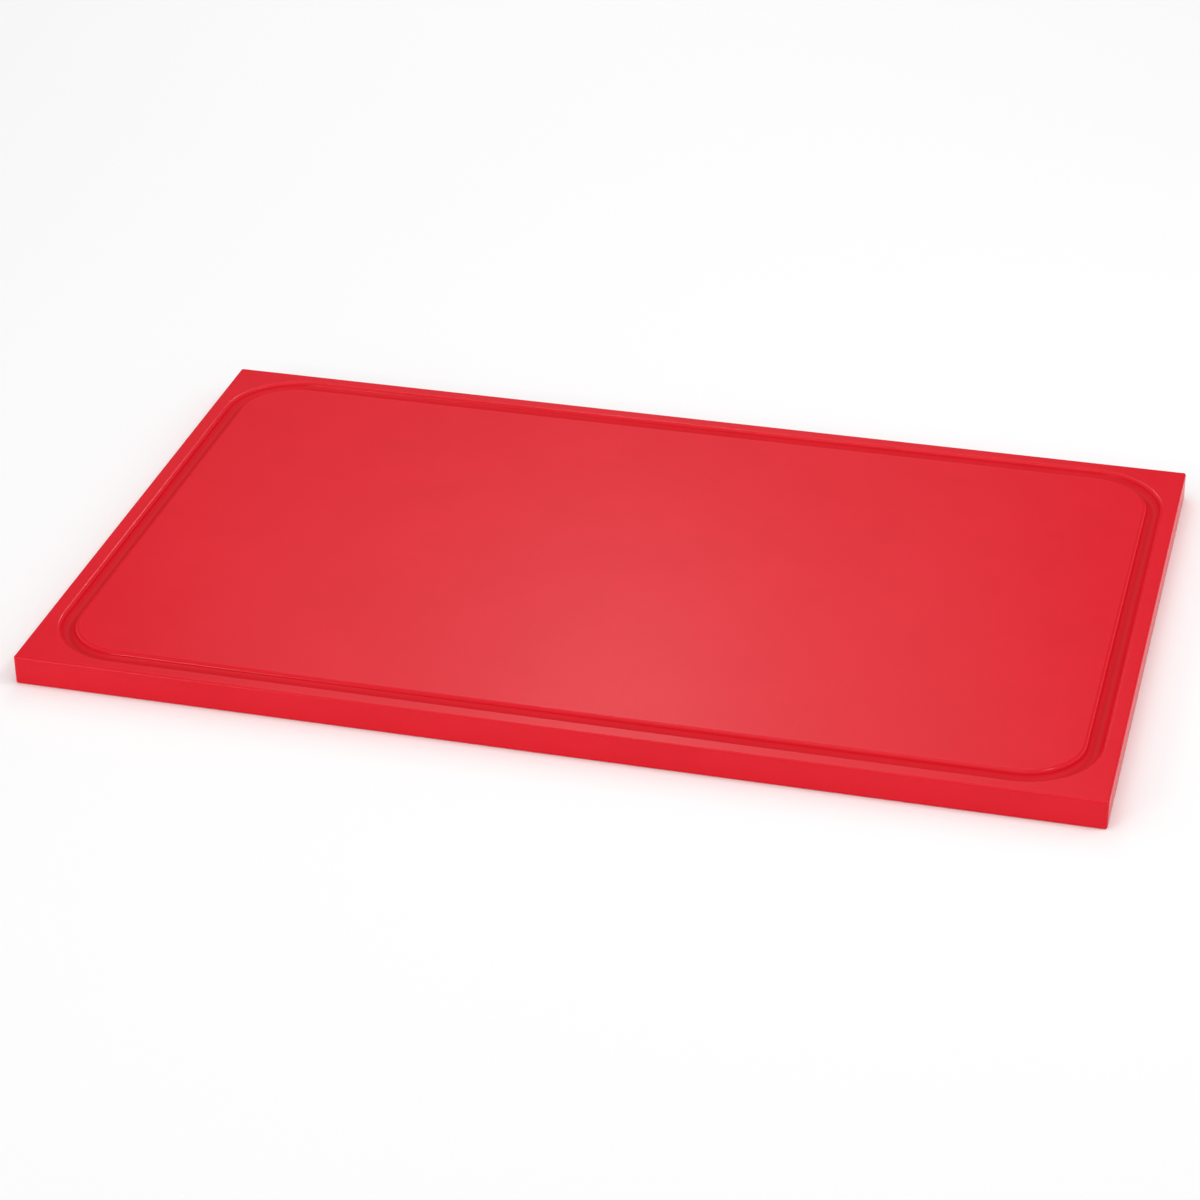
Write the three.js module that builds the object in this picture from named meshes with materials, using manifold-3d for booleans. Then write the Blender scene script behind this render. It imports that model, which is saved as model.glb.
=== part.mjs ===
// A professional kitchen cutting board: one slab of solid polyethylene with a
// juice groove milled round its work face. Millimetres, +Z up, +X along the
// length. The origin is the middle of the underside.

import * as THREE from 'three';
import { mergeVertices } from 'three/addons/utils/BufferGeometryUtils.js';
import Module from 'manifold-3d';

const wasm = await Module();
wasm.setup();

// Slab, on the footprint of a full-size gastronorm tray
const LENGTH = 530;
const WIDTH = 325;
const THICKNESS = 15;
const CORNER_RADIUS = 1.4;      // the four upright corners
const EDGE_RADIUS = 1;          // round along the rim of both faces

// Juice groove, a closed loop with one section all the way round
const GROOVE_INSET = 12.3;      // board's edge to the groove's centreline
const GROOVE_WIDTH = 10.4;      // across the mouth, from flat face to flat face
const GROOVE_DEPTH = 4;
const GROOVE_LIP_RADIUS = 2;    // where each side turns over into the top face
const GROOVE_CORNER_RADIUS = 34; // centreline, at the four corners

// How finely the round stretches are cut into straight ones
const CORNER_STEPS = 5;
const EDGE_STEPS = 4;
const GROOVE_CORNER_STEPS = 14;
const GROOVE_FLOOR_STEPS = 10;
const GROOVE_LIP_STEPS = 5;

// The cutter stands this far clear above the face that it cuts
const CUTTER_HEADROOM = 2;

const BOARD_RED = new THREE.Color('#e02733');

// The centres of the four arcs of a rounded rectangle, anticlockwise from +X +Y,
// each with the angle where its quarter turn starts.
function cornerArcs(length, width, radius) {
  const x = length / 2 - radius;
  const y = width / 2 - radius;
  return [[x, y], [-x, y], [-x, -y], [x, -y]].map(([cx, cy], quarter) => (
    { cx, cy, start: quarter * Math.PI / 2 }
  ));
}

function roundedRectangle(length, width, radius) {
  const shape = new THREE.Shape();
  for (const { cx, cy, start } of cornerArcs(length, width, radius)) {
    shape.absarc(cx, cy, radius, start, start + Math.PI / 2, false);
  }
  shape.closePath();
  return shape;
}

// The slab before milling, its rims rounded on both faces.
function slabGeometry() {
  const outline = roundedRectangle(LENGTH, WIDTH, CORNER_RADIUS);
  const geometry = new THREE.ExtrudeGeometry(outline, {
    depth: THICKNESS - 2 * EDGE_RADIUS,
    curveSegments: CORNER_STEPS,
    bevelThickness: EDGE_RADIUS,
    bevelSize: EDGE_RADIUS,
    bevelOffset: -EDGE_RADIUS,
    bevelSegments: EDGE_STEPS,
  });
  return geometry.translate(0, 0, EDGE_RADIUS);
}

// The groove's section as a closed outline. Its x is measured outwards from the
// groove's centreline and its y upwards from the top face: down round one lip,
// across the rounded floor, up round the other lip, and over in the air. The
// floor is one arc, and each lip meets it without a corner.
function grooveSection() {
  const half = GROOVE_WIDTH / 2;
  const lip = GROOVE_LIP_RADIUS;
  const centresApart = (half ** 2 + GROOVE_DEPTH ** 2) / (2 * GROOVE_DEPTH);
  const floorRadius = centresApart - lip;
  const flank = Math.asin(half / centresApart);
  const up = Math.PI / 2;
  const down = -Math.PI / 2;
  const arc = (x, y, radius, from, to, clockwise, steps) => (
    new THREE.EllipseCurve(x, y, radius, radius, from, to, clockwise).getPoints(steps)
  );
  return [
    ...arc(-half, -lip, lip, up, up - flank, true, GROOVE_LIP_STEPS),
    ...arc(0, floorRadius - GROOVE_DEPTH, floorRadius, down - flank, down + flank, false,
      GROOVE_FLOOR_STEPS).slice(1, -1),
    ...arc(half, -lip, lip, up + flank, up, true, GROOVE_LIP_STEPS),
    new THREE.Vector2(half, CUTTER_HEADROOM),
    new THREE.Vector2(-half, CUTTER_HEADROOM),
  ];
}

// The cutter: the section carried round the groove's centreline. In the corners
// it turns about the arc's centre, and between them it runs straight.
function grooveCutterGeometry() {
  const section = grooveSection();
  const arcs = cornerArcs(LENGTH - 2 * GROOVE_INSET, WIDTH - 2 * GROOVE_INSET, GROOVE_CORNER_RADIUS);
  const positions = [];
  for (const { cx, cy, start } of arcs) {
    for (let step = 0; step <= GROOVE_CORNER_STEPS; step += 1) {
      const angle = start + (step / GROOVE_CORNER_STEPS) * Math.PI / 2;
      for (const { x: outwards, y: up } of section) {
        const radius = GROOVE_CORNER_RADIUS + outwards;
        positions.push(cx + radius * Math.cos(angle), cy + radius * Math.sin(angle), THICKNESS + up);
      }
    }
  }
  const stations = arcs.length * (GROOVE_CORNER_STEPS + 1);
  const faces = [];
  for (let station = 0; station < stations; station += 1) {
    const here = station * section.length;
    const next = ((station + 1) % stations) * section.length;
    for (let point = 0; point < section.length; point += 1) {
      const after = (point + 1) % section.length;
      faces.push(here + point, next + point, next + after);
      faces.push(here + point, next + after, here + after);
    }
  }
  const geometry = new THREE.BufferGeometry();
  geometry.setAttribute('position', new THREE.Float32BufferAttribute(positions, 3));
  return geometry.setIndex(faces);
}

function solidOf(geometry) {
  geometry.deleteAttribute('normal');
  geometry.deleteAttribute('uv');
  const merged = mergeVertices(geometry);
  return new wasm.Manifold(new wasm.Mesh({
    numProp: 3,
    vertProperties: new Float32Array(merged.attributes.position.array),
    triVerts: new Uint32Array(merged.index.array),
  }));
}

function geometryOf(solid) {
  const { vertProperties, triVerts } = solid.getMesh();
  const geometry = new THREE.BufferGeometry();
  geometry.setAttribute('position', new THREE.BufferAttribute(vertProperties, 3));
  geometry.setIndex(new THREE.BufferAttribute(triVerts, 1));
  geometry.computeVertexNormals();
  return geometry;
}

function boardSlab() {
  const milled = solidOf(slabGeometry()).subtract(solidOf(grooveCutterGeometry()));
  const polyethylene = new THREE.MeshStandardMaterial({
    color: BOARD_RED,
    roughness: 0.45,
    metalness: 0,
    flatShading: true,
  });
  const mesh = new THREE.Mesh(geometryOf(milled), polyethylene);
  mesh.name = 'board_slab';
  return mesh;
}

const cuttingBoard = new THREE.Group();
cuttingBoard.name = 'cutting_board';
cuttingBoard.add(boardSlab());

export default cuttingBoard;
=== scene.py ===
"""Looks of the cutting board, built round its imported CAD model."""

import math
from collections import namedtuple

import bpy
from mathutils import Matrix, Vector


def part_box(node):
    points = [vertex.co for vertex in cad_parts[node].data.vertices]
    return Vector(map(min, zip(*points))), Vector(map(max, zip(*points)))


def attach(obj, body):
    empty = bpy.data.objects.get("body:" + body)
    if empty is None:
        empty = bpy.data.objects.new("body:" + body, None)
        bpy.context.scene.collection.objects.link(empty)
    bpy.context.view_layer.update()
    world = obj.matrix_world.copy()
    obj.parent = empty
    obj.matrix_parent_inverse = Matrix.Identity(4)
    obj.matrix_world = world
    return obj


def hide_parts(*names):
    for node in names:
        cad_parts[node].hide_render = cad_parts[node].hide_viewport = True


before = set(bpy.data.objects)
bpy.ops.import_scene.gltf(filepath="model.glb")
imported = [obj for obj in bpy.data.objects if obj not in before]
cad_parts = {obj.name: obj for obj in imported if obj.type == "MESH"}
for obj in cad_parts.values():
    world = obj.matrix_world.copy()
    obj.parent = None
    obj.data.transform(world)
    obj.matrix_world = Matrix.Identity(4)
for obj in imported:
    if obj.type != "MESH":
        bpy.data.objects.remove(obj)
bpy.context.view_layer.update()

MM = 0.001

# ---------------------------------------------------------------- the board
# Sizes in metres. Length, width and thickness come from the CAD box.
SLAB_NODE = "board_slab"
slab_low, slab_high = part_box(SLAB_NODE)
LENGTH = slab_high.x - slab_low.x
WIDTH = slab_high.y - slab_low.y
TOP = slab_high.z
BOTTOM = slab_low.z

CORNER_RADIUS = 1.4 * MM
EDGE_RADIUS = 1.0 * MM
GROOVE_INSET = 12.3 * MM
GROOVE_HALF_WIDTH = 5.2 * MM
GROOVE_DEPTH = 4.0 * MM
GROOVE_LIP_RADIUS = 2.0 * MM
GROOVE_CORNER_RADIUS = 34 * MM

CORNER_STEPS = 24
EDGE_STEPS = 8
LIP_STEPS = 14
FLOOR_STEPS = 32
QUARTER_TURN = math.pi / 2

# A closed loop of points round the board, the outward and upward parts of the surface's
# normal along it, and the finish of the band between it and the next loop
Ring = namedtuple("Ring", "points outwards upwards finish")


def evenly(first, last, steps):
    """The steps + 1 values that lead from the first to the last."""
    return [first + (last - first) * step / steps for step in range(steps + 1)]


def loop_directions():
    """For each point of a loop, its quarter and the angle it faces, anticlockwise from +X."""
    return [
        (quarter, (quarter + step / CORNER_STEPS) * QUARTER_TURN)
        for quarter in range(4)
        for step in range(CORNER_STEPS + 1)
    ]


def rounded_rectangle(inset, radius, height):
    """A loop parallel to the board's outline and this far inside it."""
    x = LENGTH / 2 - inset - radius
    y = WIDTH / 2 - inset - radius
    centres = ((x, y), (-x, y), (-x, -y), (x, -y))
    points = []
    for quarter, angle in loop_directions():
        centre_x, centre_y = centres[quarter]
        points.append((
            centre_x + radius * math.cos(angle),
            centre_y + radius * math.sin(angle),
            height,
        ))
    return points


def outline_loop(inset, height):
    return rounded_rectangle(inset, CORNER_RADIUS - inset, height)


def groove_loop(outwards, height):
    """A loop this far outside the groove's centreline."""
    return rounded_rectangle(GROOVE_INSET - outwards, GROOVE_CORNER_RADIUS + outwards, height)


def groove_rings():
    """From the island's edge down one lip, across the floor's arc and up the other lip."""
    half, lip, depth = GROOVE_HALF_WIDTH, GROOVE_LIP_RADIUS, GROOVE_DEPTH
    centres_apart = (half * half + depth * depth) / (2 * depth)
    floor = centres_apart - lip
    flank = math.asin(half / centres_apart)
    rings = []
    for a in evenly(0, flank, LIP_STEPS):
        points = groove_loop(-half + lip * math.sin(a), TOP - lip * (1 - math.cos(a)))
        rings.append(Ring(points, math.sin(a), math.cos(a), "groove"))
    for a in evenly(-flank, flank, FLOOR_STEPS)[1:-1]:
        points = groove_loop(floor * math.sin(a), TOP - depth + floor * (1 - math.cos(a)))
        rings.append(Ring(points, -math.sin(a), math.cos(a), "groove"))
    for a in evenly(flank, 0, LIP_STEPS):
        points = groove_loop(half - lip * math.sin(a), TOP - lip * (1 - math.cos(a)))
        rings.append(Ring(points, -math.sin(a), math.cos(a), "groove"))
    return rings


def upper_rim_rings():
    rings = []
    for a in evenly(0, QUARTER_TURN, EDGE_STEPS):
        points = outline_loop(EDGE_RADIUS * (1 - math.sin(a)), TOP - EDGE_RADIUS * (1 - math.cos(a)))
        rings.append(Ring(points, math.sin(a), math.cos(a), "rim"))
    return rings


def lower_rim_rings():
    rings = []
    for a in evenly(0, QUARTER_TURN, EDGE_STEPS):
        points = outline_loop(EDGE_RADIUS * (1 - math.cos(a)), BOTTOM + EDGE_RADIUS * (1 - math.sin(a)))
        rings.append(Ring(points, math.cos(a), -math.sin(a), "rim"))
    return rings


def slab_rings():
    """All loops in order, from the island's edge over the rim and down to the underside."""
    groove, upper_rim, lower_rim = groove_rings(), upper_rim_rings(), lower_rim_rings()
    groove[-1] = groove[-1]._replace(finish="planed")
    upper_rim[-1] = upper_rim[-1]._replace(finish="sawn")
    return groove + upper_rim + lower_rim


def build_slab(name, materials):
    """The bands between the loops, closed by the island's face and the underside."""
    rings = slab_rings()
    directions = [(math.cos(angle), math.sin(angle)) for _, angle in loop_directions()]
    count = len(directions)
    vertices, normals, faces, finishes = [], [], [], []
    for ring in rings:
        vertices += ring.points
        normals += [(ring.outwards * x, ring.outwards * y, ring.upwards) for x, y in directions]
    for r in range(len(rings) - 1):
        here, below = r * count, (r + 1) * count
        for k in range(count):
            after = (k + 1) % count
            faces.append((here + k, below + k, below + after, here + after))
            finishes.append(rings[r].finish)
    island = range(count)
    underside = range(len(vertices) - count, len(vertices))
    faces += [tuple(island), tuple(reversed(underside))]
    finishes += ["planed", "planed"]

    mesh = bpy.data.meshes.new(name)
    mesh.from_pydata(vertices, [], faces)
    for material in materials:
        mesh.materials.append(material)
    for polygon, finish in zip(mesh.polygons, finishes):
        polygon.material_index = FINISHES.index(finish)
        polygon.use_smooth = True
    mesh.validate()
    mesh.normals_split_custom_set_from_vertices(normals)
    slab = bpy.data.objects.new(name, mesh)
    bpy.context.scene.collection.objects.link(slab)
    return slab


# ------------------------------------------------------------- the material
# Polyethylene dyed right through: a satin red whose depth of colour drifts a little
LIGHT_RED = (0.750, 0.0095, 0.0228, 1)
DEEP_RED = (0.716, 0.0075, 0.0192, 1)
# Painted shade: this deeper red stands in for the shade on the groove's floor
GROOVE_SHADE_RED = (0.600, 0.0058, 0.0150, 1)
SPECK_RED = (0.350, 0.0060, 0.0120, 1)
SPECULAR_LEVEL = 0.16

# The drift comes mostly from soft patches, and partly from the marks
PATCH_SIZE = 45 * MM
PATCH_SHARE = 0.85
MARKS_SHARE = 0.15

# Each cutter leaves its own marks: their size along X, Y and Z, and the roughness in their
# smoothest and roughest places. The planer crosses the faces along Y, the groove cutter leaves
# fine chatter, the saw leaves upright lines on the sides and the rims are rounded lengthways.
MARKS = {
    "planed": ((4.0 * MM, 120 * MM, 120 * MM), 0.292, 0.308),
    "groove": ((1.2 * MM, 1.2 * MM, 2.0 * MM), 0.13, 0.18),
    "rim": ((90 * MM, 90 * MM, 0.35 * MM), 0.17, 0.20),
    "sawn": ((2.0 * MM, 2.0 * MM, 40 * MM), 0.275, 0.279),
}
FINISHES = tuple(MARKS)

# How far below the top face the groove's walls turn rough and its floor takes painted shade, a deeper red
# standing in for the shade in the recess
WALL_STARTS = 0.9 * MM
WALL_ROUGHER = 0.38
FLOOR_STARTS = 3.0 * MM

SPECK_SPACING = 22 * MM
SPECK_RADIUS = 0.28 * MM
SPECK_RARITY = 0.80

# Nearly all of the noise lies between these
NOISE_LOW = 0.3
NOISE_HIGH = 0.7
NOISE_DETAIL = 2.0
NOISE_ROUGHNESS = 0.6

# A Mix node has sockets of one name for each data type. These are the ones for colours.
MIX_FACTOR = 0
MIX_COLOUR_A = 6
MIX_COLOUR_B = 7
MIX_COLOUR_RESULT = 2


def node(tree, kind, inputs, **settings):
    """A new node whose inputs are given either a value or the socket that feeds them."""
    made = tree.nodes.new(kind)
    for name, value in settings.items():
        setattr(made, name, value)
    for name, value in inputs.items():
        if isinstance(value, bpy.types.NodeSocket):
            tree.links.new(value, made.inputs[name])
        else:
            made.inputs[name].default_value = value
    return made


def place_on_board(tree):
    return node(tree, "ShaderNodeTexCoord", {}).outputs["Object"]


def scaled_place(tree, sizes):
    per_metre = tuple(1 / size for size in sizes)
    inputs = {0: place_on_board(tree), 1: per_metre}
    return node(tree, "ShaderNodeVectorMath", inputs, operation="MULTIPLY").outputs[0]


def noise(tree, sizes):
    """Noise whose features have these sizes along X, Y and Z."""
    inputs = {
        "Vector": scaled_place(tree, sizes),
        "Scale": 1.0,
        "Detail": NOISE_DETAIL,
        "Roughness": NOISE_ROUGHNESS,
    }
    return node(tree, "ShaderNodeTexNoise", inputs).outputs[0]


def spread(tree, value, from_low, from_high, low, high, curve="LINEAR"):
    """The value carried from one range to another, and kept within it."""
    inputs = {"Value": value, "From Min": from_low, "From Max": from_high, "To Min": low, "To Max": high}
    return node(tree, "ShaderNodeMapRange", inputs, interpolation_type=curve).outputs[0]


def spread_noise(tree, value, low, high):
    return spread(tree, value, NOISE_LOW, NOISE_HIGH, low, high)


def mixed(tree, factor, colour_a, colour_b):
    inputs = {MIX_FACTOR: factor, MIX_COLOUR_A: colour_a, MIX_COLOUR_B: colour_b}
    return node(tree, "ShaderNodeMix", inputs, data_type="RGBA").outputs[MIX_COLOUR_RESULT]


def calculated(tree, operation, a, b):
    return node(tree, "ShaderNodeMath", {0: a, 1: b}, operation=operation).outputs[0]


def specks(tree):
    """1 inside the rare pinprick of dust pressed into the sheet, 0 elsewhere."""
    inputs = {"Vector": scaled_place(tree, (SPECK_SPACING,) * 3), "Scale": 1.0}
    cells = node(tree, "ShaderNodeTexVoronoi", inputs)
    inside = calculated(tree, "LESS_THAN", cells.outputs["Distance"], SPECK_RADIUS / SPECK_SPACING)
    chosen = calculated(tree, "GREATER_THAN", cells.outputs["Color"], SPECK_RARITY)
    return calculated(tree, "MULTIPLY", inside, chosen)


def drifting_red(tree, marks):
    patches = noise(tree, (PATCH_SIZE,) * 3)
    from_patches = spread_noise(tree, patches, 0.0, PATCH_SHARE)
    from_marks = spread_noise(tree, marks, 0.0, MARKS_SHARE)
    drift = calculated(tree, "ADD", from_patches, from_marks)
    return mixed(tree, drift, DEEP_RED, LIGHT_RED)


def with_painted_groove_shade(tree, colour, roughness):
    """The groove's roughness, and its colour darkened by painted shade, both changing on the way down to
    its floor.
    """
    height = node(tree, "ShaderNodeSeparateXYZ", {0: place_on_board(tree)}).outputs["Z"]
    # Painted shade: the base colour darkens towards the groove's floor, where the recess is shaded
    floor_shade = spread(tree, height, TOP - FLOOR_STARTS, TOP - GROOVE_DEPTH, 0.0, 1.0)
    rougher = spread(tree, height, TOP - WALL_STARTS, TOP - FLOOR_STARTS, 0.0, WALL_ROUGHER)
    return mixed(tree, floor_shade, colour, GROOVE_SHADE_RED), calculated(tree, "ADD", roughness, rougher)


def polyethylene(finish):
    material = bpy.data.materials.new("polyethylene_" + finish)
    material.use_nodes = True
    tree = material.node_tree
    shader = tree.nodes["Principled BSDF"]
    shader.inputs["Specular IOR Level"].default_value = SPECULAR_LEVEL
    sizes, smoothest, roughest = MARKS[finish]
    marks = noise(tree, sizes)
    colour = drifting_red(tree, marks)
    roughness = spread_noise(tree, marks, smoothest, roughest)
    # The groove's floor gets painted shade and its walls turn rougher
    if finish == "groove":
        colour, roughness = with_painted_groove_shade(tree, colour, roughness)
    if finish == "planed":
        colour = mixed(tree, specks(tree), colour, SPECK_RED)
    tree.links.new(colour, shader.inputs["Base Color"])
    tree.links.new(roughness, shader.inputs["Roughness"])
    return material


slab = build_slab("slab", [polyethylene(finish) for finish in FINISHES])
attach(slab, "root")
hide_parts(SLAB_NODE)


# ---------------------------------------------------------------- the floor
FLOOR_REACH = 20.0
FLOOR_WHITE = (0.98, 0.98, 0.98, 1)
FLOOR_ROUGHNESS = 0.9


def build_floor():
    corners = [
        (-FLOOR_REACH, -FLOOR_REACH, BOTTOM),
        (FLOOR_REACH, -FLOOR_REACH, BOTTOM),
        (FLOOR_REACH, FLOOR_REACH, BOTTOM),
        (-FLOOR_REACH, FLOOR_REACH, BOTTOM),
    ]
    mesh = bpy.data.meshes.new("floor")
    mesh.from_pydata(corners, [], [(0, 1, 2, 3)])
    material = bpy.data.materials.new("pale_floor")
    material.use_nodes = True
    shader = material.node_tree.nodes["Principled BSDF"]
    shader.inputs["Base Color"].default_value = FLOOR_WHITE
    shader.inputs["Roughness"].default_value = FLOOR_ROUGHNESS
    shader.inputs["Specular IOR Level"].default_value = 0.0
    mesh.materials.append(material)
    floor = bpy.data.objects.new("floor", mesh)
    bpy.context.scene.collection.objects.link(floor)


# ---------------------------------------------------------------- the light
CAMERA_AZIMUTH = math.radians(14.868)


def from_camera(right, away, up):
    """A place or direction in a frame turned to face as the camera does: to its right, away, up."""
    a = CAMERA_AZIMUTH
    return Vector((right * math.cos(a) - away * math.sin(a), right * math.sin(a) + away * math.cos(a), up))


# A near-white room, with a darker zone low at the back. The dot product of a direction
# with the middle of that zone is DARK_EDGE at the zone's edge and DARK_CORE in its core.
ROOM_RADIANCE = 0.82
DARK_RADIANCE = 0.14
DARK_DIRECTION = from_camera(0, 0.9, 0.40).normalized()
DARK_EDGE = 0.55
DARK_CORE = 0.95

# Each light's place, width and height, in metres, and its radiance. The two at the back
# make the sheen on the work face, and the last two the highlights on rims and lips.
LIGHTS = {
    "back_softbox": (from_camera(0, 1.5, 1.55), (1.0, 1.25), 1.45),
    "back_lamp": (from_camera(0, 1.32, 1.0), (0.19, 0.12), 8.3),
    "overhead_softbox": (Vector((0.05, -0.25, 1.2)), (0.6, 0.5), 1.6),
    "front_left_softbox": (Vector((-0.76, -1.52, 0.65)), (0.25, 0.15), 26.0),
    "right_lamp": (Vector((0.75, 0.02, 1.29)), (0.20, 0.20), 24.0),
}


def build_light(name, place, size, radiance):
    """A rectangular light that faces the origin, the middle of the board's underside."""
    light = bpy.data.lights.new(name, "AREA")
    light.shape = "RECTANGLE"
    light.size, light.size_y = size
    # The power of a face that glows evenly in all directions
    light.energy = radiance * math.pi * light.size * light.size_y
    lamp = bpy.data.objects.new(name, light)
    lamp.location = place
    lamp.rotation_euler = place.to_track_quat("Z", "Y").to_euler()
    bpy.context.scene.collection.objects.link(lamp)


def build_world():
    world = bpy.data.worlds.new("studio")
    bpy.context.scene.world = world
    world.use_nodes = True
    tree = world.node_tree
    background = tree.nodes["Background"]
    background.inputs["Color"].default_value = (1, 1, 1, 1)
    direction = node(tree, "ShaderNodeTexCoord", {}).outputs["Generated"]
    dot_inputs = {0: direction, 1: DARK_DIRECTION}
    along = node(tree, "ShaderNodeVectorMath", dot_inputs, operation="DOT_PRODUCT").outputs["Value"]
    strength = spread(tree, along, DARK_EDGE, DARK_CORE, ROOM_RADIANCE, DARK_RADIANCE, "SMOOTHSTEP")
    tree.links.new(strength, background.inputs["Strength"])


build_floor()
build_world()
for light_name, (place, size, radiance) in LIGHTS.items():
    build_light(light_name, place, size, radiance)

# --------------------------------------------------------------- the camera
# Distances in metres, lens and sensor in millimetres
CAMERA_ELEVATION = math.radians(30.115)
CAMERA_ROLL = math.radians(-0.531)
CAMERA_DISTANCE = 1.6698
CAMERA_TARGET = Vector((-0.0028, -0.0417, TOP))
CAMERA_LENS = 100.87
CAMERA_SENSOR = 36
CAMERA_NEAR = 0.05
CAMERA_FAR = 60


def build_camera():
    """A camera that looks at its target from its azimuth and elevation, rolled a little."""
    a, e = CAMERA_AZIMUTH, CAMERA_ELEVATION
    back = Vector((math.sin(a) * math.cos(e), -math.cos(a) * math.cos(e), math.sin(e)))
    right = Vector((math.cos(a), math.sin(a), 0))
    up = back.cross(right)
    cos, sin = math.cos(CAMERA_ROLL), math.sin(CAMERA_ROLL)
    rolled_right = cos * right + sin * up
    rolled_up = cos * up - sin * right
    turn = Matrix((rolled_right, rolled_up, back)).transposed().to_4x4()

    camera = bpy.data.cameras.new("camera")
    camera.lens = CAMERA_LENS
    camera.sensor_width = CAMERA_SENSOR
    camera.clip_start = CAMERA_NEAR
    camera.clip_end = CAMERA_FAR
    holder = bpy.data.objects.new("camera", camera)
    holder.matrix_world = Matrix.Translation(CAMERA_TARGET + CAMERA_DISTANCE * back) @ turn
    bpy.context.scene.collection.objects.link(holder)
    bpy.context.scene.camera = holder


build_camera()
bpy.context.scene.view_settings.view_transform = "Standard"
bpy.context.scene.view_settings.look = "None"
